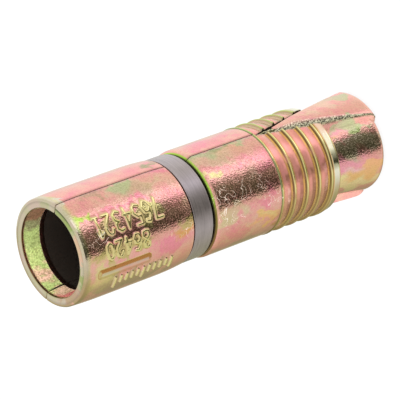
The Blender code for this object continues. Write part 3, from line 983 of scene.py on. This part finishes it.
def makeSpurs(firstIndex):
    # from inside each wing to the point's tip
    dice = np.random.default_rng(spur["seed"])
    steps, points, faces = spur["steps"], [], []
    for turned in (1.0, -1.0):
        base = firstIndex + len(points)
        for share in np.arange(steps + 1) / steps:
            height = wing["length"] - spur["root"] + (spur["length"] + spur["root"]) * share
            half = (wing["tip"] - spur["inset"]) * (1.0 - share) + spur["tip"] * share
            top = wingTop(wing["length"]) - spur["topInset"] - spur["topDrop"] * share
            top += spur["topTorn"] * dice.uniform(-1.0, 1.0)
            torn = spur["sideTorn"] * dice.uniform(-1.0, 1.0)
            section = [(half * across, top - below + torn * way) for across, below, way in spur["corners"]]
            section = [(half, spur["bottom"]), *section, (-half, spur["bottom"])]
            points += [(turned * x, turned * y, height) for x, y in section]
        count = len(section)
        for lower in range(base, base + steps * count, count):
            faces += [(lower + k, lower + j, lower + count + j, lower + count + k)
                      for k, j in zip(range(count), (*range(1, count), 0))]
        faces.append(tuple(base + k for k in reversed(range(count))))
        faces.append(tuple(base + steps * count + k for k in range(count)))
    given = {
        "tint": np.tile(platingTints["straw"], (len(points), 1)),
        "cover": np.ones(len(points)),
        "sheared": np.full(len(points), spur["sheared"]),
    }
    return np.array(points), faces, withPlating(len(points), given)


def dullFootAt(points):
    # where the wings' flanks meet the cone, the plating is dull
    apart = np.abs((turnOf(points) - anchor["seamTurn"] + 90.0) % 180.0 - 90.0)
    near = window(*cone["dullTurns"], apart) * window(*cone["dullDepths"], depthOf(points))
    return cone["dullFoot"] * near


def makeCone(name):
    rows = []  # each row is a ring of (x, y, height, sheared, inner), inner being painted shade in the bore

    def addRing(sectionHeight, winged, height):
        rows.append([(x, y, height, m, 0.0) for x, y, m in ringOf(sectionHeight, winged)])

    def addBoreRing(radii, height, angles, inner):
        radii = np.broadcast_to(radii, angles.shape)
        rows.append([(r * math.cos(a), r * math.sin(a), height, 0.0, inner) for r, a in zip(radii, angles)])

    for height in (*cone["rearHeights"], wing["start"]):
        addRing(max(height, 1e-4), False, height)
    shares = np.linspace(0.0, 1.0, wing["roundingRows"] + 1) ** 1.5
    wingHeights = list(wing["start"] + (wing["rounding"] - wing["start"]) * shares)
    wingHeights += list(np.linspace(wing["rounding"], wing["length"], wing["rows"] + 1)[1:])
    for height in wingHeights:
        addRing(height, True, height)
    chamferStart = cone["length"] - cone["frontChamfer"]
    for height in (wing["length"], (wing["length"] + chamferStart) / 2.0, chamferStart):
        addRing(height, False, height)

    frontAngles = np.unwrap([math.atan2(p[1], p[0]) for p in rows[-1]])
    rearAngles = np.unwrap([math.atan2(p[1], p[0]) for p in rows[0]])
    frontShade, threadShade, rearShade = cone["boreShade"]
    addBoreRing(coneRadius(chamferStart) - cone["frontChamfer"], cone["length"], frontAngles, frontShade)
    threadStep = cone["threadPitch"] / cone["threadSteps"]
    for height in np.arange(cone["length"], cone["boreChamfer"], -threadStep):
        angles = rearAngles + (frontAngles - rearAngles) * height / cone["length"]
        addBoreRing(threadRadius(height, angles), height, angles, threadShade)
    addBoreRing(cone["boreRadius"], cone["boreChamfer"], rearAngles, rearShade)
    addBoreRing(cone["boreRadius"] + cone["boreChamfer"], 0.0, rearAngles, 0.0)

    table = np.array(rows)
    points = table[:, :, :3].reshape(-1, 3)
    faces = gridFaces(len(rows), table.shape[1], True, True)
    colour, cover = tintAt(points, tint["coneSpots"])
    given = {
        "tint": colour,
        "cover": cover,
        "skin": np.interp(turnOf(points), *zip(*cone["skin"])),
        "dull": dullFootAt(points),
        "inner": table[:, :, 4].ravel(),
        "sheared": table[:, :, 3].ravel(),
    }
    values = withPlating(len(points), given)
    spurPoints, spurFaces, spurValues = makeSpurs(len(points))
    values = {key: np.concatenate([values[key], spurValues[key]]) for key in values}
    return makePiece(name, np.concatenate([points, spurPoints]), faces + spurFaces, values, 40.0)


# shader helpers


def newGroup(name, colours, numbers, outputs):
    group = bpy.data.node_groups.new(name, "ShaderNodeTree")
    for label in colours:
        group.interface.new_socket(name=label, in_out="INPUT", socket_type="NodeSocketColor")
    for label, value in numbers.items():
        socket = group.interface.new_socket(name=label, in_out="INPUT", socket_type="NodeSocketFloat")
        socket.default_value = value
    for label, kind in outputs.items():
        group.interface.new_socket(name=label, in_out="OUTPUT", socket_type="NodeSocket" + kind)
    return group, group.nodes.new("NodeGroupInput").outputs, group.nodes.new("NodeGroupOutput")


def newMaterial(name):
    material = bpy.data.materials.new(name)
    material.use_nodes = True
    return material, material.node_tree, material.node_tree.nodes["Principled BSDF"]


def setInputs(tree, node, values):
    for key, value in values.items():
        if isinstance(value, bpy.types.NodeSocket):
            tree.links.new(value, node.inputs[key])
        else:
            node.inputs[key].default_value = value


def addNode(tree, kind, values=None, **settings):
    node = tree.nodes.new("ShaderNode" + kind)
    for key, value in settings.items():
        setattr(node, key, value)
    setInputs(tree, node, values or {})
    return node


def mathNode(tree, operation, *values, clamp=False):
    values = dict(enumerate(values))
    return addNode(tree, "Math", values, operation=operation, use_clamp=clamp).outputs[0]


def vectorNode(tree, operation, *values):
    return addNode(tree, "VectorMath", dict(enumerate(values)), operation=operation).outputs


def addUp(tree, total, terms, clamp=False):
    # total plus each value times its weight
    for value, weight in terms:
        total = mathNode(tree, "MULTIPLY_ADD", value, weight, total, clamp=clamp)
    return total


def rangeNode(tree, value, low, high, interpolation="LINEAR"):
    values = {"Value": value, "From Min": low, "From Max": high}
    return addNode(tree, "MapRange", values, interpolation_type=interpolation).outputs["Result"]


def opaque(colour):
    return (*colour, 1.0)


def mixColour(tree, factor, first, second, blend="MIX"):
    values = {0: factor, 6: first, 7: second}
    node = addNode(tree, "Mix", values, data_type="RGBA", blend_type=blend, clamp_factor=True)
    return node.outputs[2]


def rampNode(tree, value, stops):
    node = addNode(tree, "ValToRGB", {"Fac": value})
    elements = node.color_ramp.elements
    while len(elements) < len(stops):
        elements.new(0.5)
    for element, (position, colour) in zip(elements, stops):
        element.position = position
        element.color = opaque(colour)
    return node.outputs["Color"]


def noiseAt(tree, place, perMm, detail=3.0, roughness=0.55, distortion=0.0):
    values = {"Vector": place, "Scale": perMm, "Detail": detail, "Roughness": roughness}
    return addNode(tree, "TexNoise", {**values, "Distortion": distortion}).outputs["Fac"]


def evenNoise(tree, *settings):
    return mathNode(tree, "SUBTRACT", noiseAt(tree, *settings), 0.5)


def threadsIn(tree, noise, level, sharpness):
    # thin curly lines where a noise passes a level
    off = mathNode(tree, "ABSOLUTE", mathNode(tree, "SUBTRACT", noise, level))
    return mathNode(tree, "SUBTRACT", 1.0, mathNode(tree, "MULTIPLY", off, sharpness), clamp=True)


def bumpNode(tree, height, distance):
    values = {"Height": height, "Strength": 1.0, "Distance": distance * mm}
    return addNode(tree, "Bump", values).outputs["Normal"]


def placeInMm(tree):
    # object coordinates in millimetres, so that noise scales are in features per millimetre
    coordinates = addNode(tree, "TexCoord").outputs["Object"]
    return addNode(tree, "VectorMath", {0: coordinates, "Scale": 1.0 / mm}, operation="SCALE").outputs[0]


# shared effects


def makePlatingGroup():
    # the plating's colour: a plain that drifts from peach to pink, the tints over it with speckled
    # borders, fine light and dark, and painted shade that darkens it towards near-black
    group, given, end = newGroup(
        "platingTint",
        ["Tint"],
        {
            "Cover": 0.0, "Painted Shade": 0.0, "Drift": 0.9, "Speckle": 0.5,
            "Scratch": 0.0, "Coarse": 0.0, "Pebble": 1.0,
        },
        {"Color": "Color"},
    )
    place = placeInMm(group)
    drift = evenNoise(group, place, 0.3, 3.0, 0.5, 0.6)
    blot = evenNoise(group, place, 1.0, 4.0, 0.6)
    speckle = evenNoise(group, place, 3.4, 1.5, 0.6)
    film = addUp(group, 0.5, [(drift, given["Drift"]), (blot, 0.5), (speckle, 0.3)])
    plainTints = [(0.2, "peach"), (0.5, "salmon"), (0.8, "pink")]
    plain = rampNode(group, film, [(position, platingTints[name]) for position, name in plainTints])
    shifts = [(0.3, (0.93, 1.0, 0.86)), (0.5, (1.0, 1.0, 1.0)), (0.7, (1.04, 0.95, 1.04))]
    shift = rampNode(group, film, shifts)
    tinted = mixColour(group, 1.0, given["Tint"], shift, "MULTIPLY")
    share = addUp(group, given["Cover"], [(speckle, given["Speckle"]), (blot, 0.3)])
    colour = mixColour(group, rangeNode(group, share, 0.25, 0.75, "SMOOTHSTEP"), plain, tinted)
    pebbles = [(0.36, (0.82, 0.81, 0.79)), (0.5, (0.98, 0.98, 0.98)), (0.64, (1.05, 1.05, 1.05))]
    pebble = rampNode(group, noiseAt(group, place, 4.2, 1.0, 0.5), pebbles)
    colour = mixColour(group, given["Pebble"], colour, pebble, "MULTIPLY")
    scale = [(0.36, (0.60, 0.58, 0.50)), (0.5, (0.95, 0.95, 0.93)), (0.62, (1.2, 1.2, 1.25))]
    coarse = rampNode(group, noiseAt(group, place, 3.4, 2.0, 0.7), scale)
    colour = mixColour(group, given["Coarse"], colour, mixColour(group, 1.0, colour, coarse, "MULTIPLY"))
    colour = mixColour(group, given["Scratch"], colour, (0.80, 0.72, 0.60, 1.0))
    # painted shade: darkens the colour towards near-black
    colour = mixColour(group, given["Painted Shade"], colour, (0.035, 0.028, 0.022, 1.0))
    setInputs(group, end, {"Color": colour})
    return group


def makeGrainGroup():
    # height of the forged and plated skin, the torn metal's light and dark, and curly scratches
    group, given, end = newGroup(
        "forgedGrain",
        [],
        {"Grain Size": 3.8, "Grain": 1.0, "Dimples": 1.0, "Torn": 0.0, "Scuff": 0.0},
        {label: "Float" for label in ("Height", "Frost", "Scab", "Scratch")},
    )
    place = placeInMm(group)
    grain = noiseAt(group, place, given["Grain Size"], 1.0, 0.5)
    fine = noiseAt(group, place, 5.6, 0.0)
    dimple = noiseAt(group, place, 1.1, 2.0, 0.5)
    torn = noiseAt(group, place, 4.4, 2.0, 0.7)
    spacing = addNode(group, "TexVoronoi", {"Vector": place, "Scale": 0.75}, feature="F1")
    pits = mathNode(group, "MULTIPLY", spacing.outputs["Distance"], 9.0)
    pits = mathNode(group, "SUBTRACT", 1.0, pits, clamp=True)
    curl = threadsIn(group, noiseAt(group, place, 0.55, 0.0, 0.5, 0.8), 0.5, 75.0)
    whorl = threadsIn(group, noiseAt(group, place, 0.9, 0.0, 0.5, 0.5), 0.56, 50.0)
    patch = rangeNode(group, noiseAt(group, place, 0.45, 2.0), 0.36, 0.5)
    scratch = mathNode(group, "MULTIPLY", mathNode(group, "MAXIMUM", curl, whorl), patch)
    height = mathNode(group, "MULTIPLY", addUp(group, grain, [(fine, 0.6)]), given["Grain"])
    tears = mathNode(group, "MULTIPLY", torn, 1.2)
    terms = [(dimple, given["Dimples"]), (tears, given["Torn"]), (pits, -0.8)]
    setInputs(group, end, {
        "Height": addUp(group, height, terms),
        "Frost": rangeNode(group, noiseAt(group, place, 4.8, 1.0), 0.5, 0.6),
        "Scab": torn,
        "Scratch": mathNode(group, "MULTIPLY", scratch, given["Scuff"]),
    })
    return group


# materials

plating = {
    "roughness": 0.08,
    # how much rougher each mark makes it
    "frost": 0.28,
    "shadeRough": 0.35,
    "shearedRough": 0.25,
    "scratchRough": 0.3,
    "flareRough": 0.42,
    # how much less metallic each makes it
    "flareMetal": 0.75,
    "dullMetal": 0.3,
    "scratchMetal": 0.6,
    "boreMetal": 0.55,
    "boreFrom": 0.96,
    "bump": 0.03,
    "grainSize": 4.4,
    "dimples": 0.12,
    "dullShade": 0.82,
    # the torn metal's light and dark
    "scab": [(0.42, (0.05, 0.045, 0.03)), (0.50, (0.34, 0.32, 0.2)), (0.58, (0.80, 0.77, 0.50))],
}


def makePlated(name, tintGroup, grainGroup, drift):
    material, tree, shader = newMaterial(name)
    read = {}
    for key in platingMarks:
        read[key] = addNode(tree, "Attribute", attribute_name=key).outputs["Fac"]
    grain = addNode(tree, "Group", {
        "Grain Size": plating["grainSize"],
        "Grain": read["skin"],
        "Dimples": plating["dimples"],
        "Torn": read["sheared"],
        "Scuff": read["scuff"],
    }, node_tree=grainGroup).outputs
    tinted = addNode(tree, "Group", {
        "Tint": addNode(tree, "Attribute", attribute_name="tint").outputs["Color"],
        "Cover": read["cover"],
        "Painted Shade": read["inner"],
        "Drift": drift,
        "Scratch": grain["Scratch"],
        "Coarse": read["flare"],
        "Pebble": read["skin"],
    }, node_tree=tintGroup).outputs["Color"]
    colour = mixColour(tree, read["sheared"], tinted, rampNode(tree, grain["Scab"], plating["scab"]))
    dull = mathNode(tree, "MULTIPLY", read["dull"], mathNode(tree, "SUBTRACT", 1.0, read["sheared"]))
    darker = mixColour(tree, 1.0, colour, opaque((plating["dullShade"],) * 3), "MULTIPLY")
    rough = addUp(tree, plating["roughness"], [
        (mathNode(tree, "MULTIPLY", grain["Frost"], read["skin"]), plating["frost"]),
        (read["inner"], plating["shadeRough"]),
        (dull, ribs["dull"]),
        (read["sheared"], plating["shearedRough"]),
        (grain["Scratch"], plating["scratchRough"]),
        (read["flare"], plating["flareRough"]),
    ])
    metal = addUp(tree, 1.0, [
        (read["flare"], -plating["flareMetal"]),
        (dull, -plating["dullMetal"]),
        (rangeNode(tree, read["inner"], plating["boreFrom"], 1.0), -plating["boreMetal"]),
        (grain["Scratch"], -plating["scratchMetal"]),
    ], clamp=True)
    setInputs(tree, shader, {
        "Base Color": mixColour(tree, dull, colour, darker),
        "Roughness": rough,
        "Metallic": metal,
        "Normal": bumpNode(tree, grain["Height"], plating["bump"]),
    })
    return material


bandFinish = {
    "oil": 0.6,
    "oilRoughness": 0.25,
    "roughness": 0.34,
    "brushRough": 0.16,
    "bump": 0.012,
    "stretch": (0.25, 0.25, 6.0),  # long streaks round the axis, fine across the band's width
    "cloud": [(0.3, (0.40, 0.345, 0.335)), (0.7, (0.48, 0.42, 0.41))],
    "streak": [(0.35, (0.86, 0.86, 0.86)), (0.65, (1.12, 1.12, 1.12))],
}


def makeBandSteel(name):
    material, tree, shader = newMaterial(name)
    place = placeInMm(tree)
    brush = noiseAt(tree, vectorNode(tree, "MULTIPLY", place, bandFinish["stretch"])[0], 1.0, 4.0, 0.6)
    colour = rampNode(tree, noiseAt(tree, place, 0.35, 2.0, 0.5), bandFinish["cloud"])
    streak = rampNode(tree, brush, bandFinish["streak"])
    setInputs(tree, shader, {
        "Metallic": 1.0,
        "Coat Weight": bandFinish["oil"],
        "Coat Roughness": bandFinish["oilRoughness"],
        "Base Color": mixColour(tree, 1.0, colour, streak, "MULTIPLY"),
        "Roughness": addUp(tree, bandFinish["roughness"], [(brush, bandFinish["brushRough"])]),
        "Normal": bumpNode(tree, brush, bandFinish["bump"]),
    })
    return material


tintGroup = makePlatingGroup()
grainGroup = makeGrainGroup()
print("shader groups made")

markedHalf = makeHalf("marked_half_dressed", 1.0, tint["nearSpots"])
plainHalf = makeHalf("plain_half_dressed", -1.0, tint["farSpots"])
pieces = [
    (markedHalf, "marked_half", "marked_shell_half", "marked_half_plating"),
    (plainHalf, "plain_half", "plain_shell_half", "plain_half_plating"),
    (makeBand("band_dressed"), "band", "retaining_band", "band_steel"),
    (makeCone("cone_dressed"), "cone", "expander_cone", "cone_plating"),
]
materials = {
    "marked_half_plating": makePlated("markedHalfPlating", tintGroup, grainGroup, 0.9),
    "plain_half_plating": makePlated("plainHalfPlating", tintGroup, grainGroup, 0.9),
    "cone_plating": makePlated("conePlating", tintGroup, grainGroup, 0.7),
    "band_steel": makeBandSteel("bandSteel"),
}
for piece, body, node, slot in pieces:
    piece.data.materials.append(materials[slot])
    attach(piece, body)
    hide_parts(node)
print("pieces dressed")


# studio: floor, soft light and camera

studio = {
    "floorSize": 3.0,
    "floorDrop": 0.05,
    "floorColour": (0.05, 0.05, 0.05),  # the floor mostly glows, so its shadows stay faint
    "floorRoughness": 0.9,
    "floorGlow": 0.9,
    "floorLight": (2.2, 2.2, 2.2),
    "sunStrength": 3.0,
    "sunSpread": 120.0,
    "overhead": (-0.162, 0.987, 0.0),  # up and forwards, if the anchor lay as in the photograph
    "front": (0.987, 0.162, 0.0),
    # angle above the front horizon, brightness of the surroundings there, and how blue it is
    "ring": [
        (-180, 0.95, 1.0), (-150, 0.78, 0.8), (-125, 0.36, 0.6), (-105, 0.44, 0.68), (-92, 0.52, 0.7),
        (-72, 0.66, 0.78), (-50, 0.74, 0.95), (-28, 0.80, 1.03), (-12, 0.78, 0.98), (-5, 0.70, 0.92),
        (-1, 0.07, 0.75), (8, 0.05, 0.7), (18, 0.09, 0.75), (28, 0.13, 0.8), (38, 0.17, 0.8), (50, 0.3, 0.85),
        (59, 1.4, 1.12), (75, 1.4, 1.15), (86, 0.84, 0.98), (108, 0.88, 0.95), (124, 0.94, 1.0),
        (142, 1.08, 1.05), (180, 1.0, 1.0),
    ],
    "sky": (0.86, 0.86, 0.86),  # past the mouth's side of the horizon
    "skyRise": (-0.1, 0.45),
    "ground": (1.0, 0.98, 0.95),  # past the rear's side
    "groundRise": (-0.72, -0.79),
    "groundOver": (0.1, 0.7),
}


def makeFloor():
    half = studio["floorSize"] / 2.0
    mesh = bpy.data.meshes.new("floor")
    corners = [(-half, -half, 0), (half, -half, 0), (half, half, 0), (-half, half, 0)]
    mesh.from_pydata(corners, [], [(0, 1, 2, 3)])
    floor = bpy.data.objects.new("floor", mesh)
    bpy.context.scene.collection.objects.link(floor)
    floor.location.z = -studio["floorDrop"] * mm
    floor.visible_glossy = False
    paint, tree, shader = newMaterial("floorPaint")
    setInputs(tree, shader, {
        "Base Color": opaque(studio["floorColour"]),
        "Roughness": studio["floorRoughness"],
        "Emission Color": (1.0, 1.0, 1.0, 1.0),
        "Emission Strength": studio["floorGlow"],
    })
    mesh.materials.append(paint)


def makeSun():
    sun = bpy.data.lights.new("overheadSun", "SUN")
    sun.energy = studio["sunStrength"]
    sun.angle = math.radians(studio["sunSpread"])
    lamp = bpy.data.objects.new("overheadSun", sun)
    lamp.visible_glossy = False
    bpy.context.scene.collection.objects.link(lamp)


def makeRoom():
    # soft surroundings: a ring of light and dark round the axis, a sky and a ground at its ends
    world = bpy.data.worlds.new("softRoom")
    world.use_nodes = True
    tree = world.node_tree
    place = addNode(tree, "TexCoord").outputs["Generated"]
    upward = vectorNode(tree, "DOT_PRODUCT", place, studio["overhead"])["Value"]
    forward = vectorNode(tree, "DOT_PRODUCT", place, studio["front"])["Value"]
    around = mathNode(tree, "ARCTAN2", upward, forward)
    share = mathNode(tree, "MULTIPLY_ADD", around, 0.5 / math.pi, 0.5)
    ring = [((angle + 180.0) / 360.0, (light, light, light * blue)) for angle, light, blue in studio["ring"]]
    axial = addNode(tree, "SeparateXYZ", {0: place}).outputs["Z"]
    light = rampNode(tree, share, ring)
    light = mixColour(tree, rangeNode(tree, axial, *studio["skyRise"]), light, opaque(studio["sky"]))
    below = rangeNode(tree, axial, *studio["groundRise"])
    onGround = mathNode(tree, "MULTIPLY", below, rangeNode(tree, around, *studio["groundOver"]))
    light = mixColour(tree, onGround, light, opaque(studio["ground"]))
    onFloor = addNode(tree, "LightPath").outputs["Is Diffuse Ray"]
    light = mixColour(tree, onFloor, light, opaque(studio["floorLight"]))
    setInputs(tree, tree.nodes["Background"], {"Color": light})
    bpy.context.scene.world = world


camera = {
    "place": (252.36, 220.27, 273.41),
    "right": (0.642487, 0.105590, -0.758987),
    "up": (-0.465785, 0.840298, -0.277388),
    "back": (0.608487, 0.531742, 0.589062),
    "lens": 270.0,
    "sensor": 36.0,
}


def makeCamera():
    data = bpy.data.cameras.new("photoCamera")
    data.lens = camera["lens"]
    data.sensor_width = camera["sensor"]
    seer = bpy.data.objects.new("photoCamera", data)
    bpy.context.scene.collection.objects.link(seer)
    turned = Matrix((camera["right"], camera["up"], camera["back"])).transposed()
    seer.matrix_world = Matrix.Translation([c * mm for c in camera["place"]]) @ turned.to_4x4()
    bpy.context.scene.camera = seer


makeFloor()
makeSun()
makeRoom()
makeCamera()
bpy.context.scene.view_settings.view_transform = "Standard"
print("studio ready")
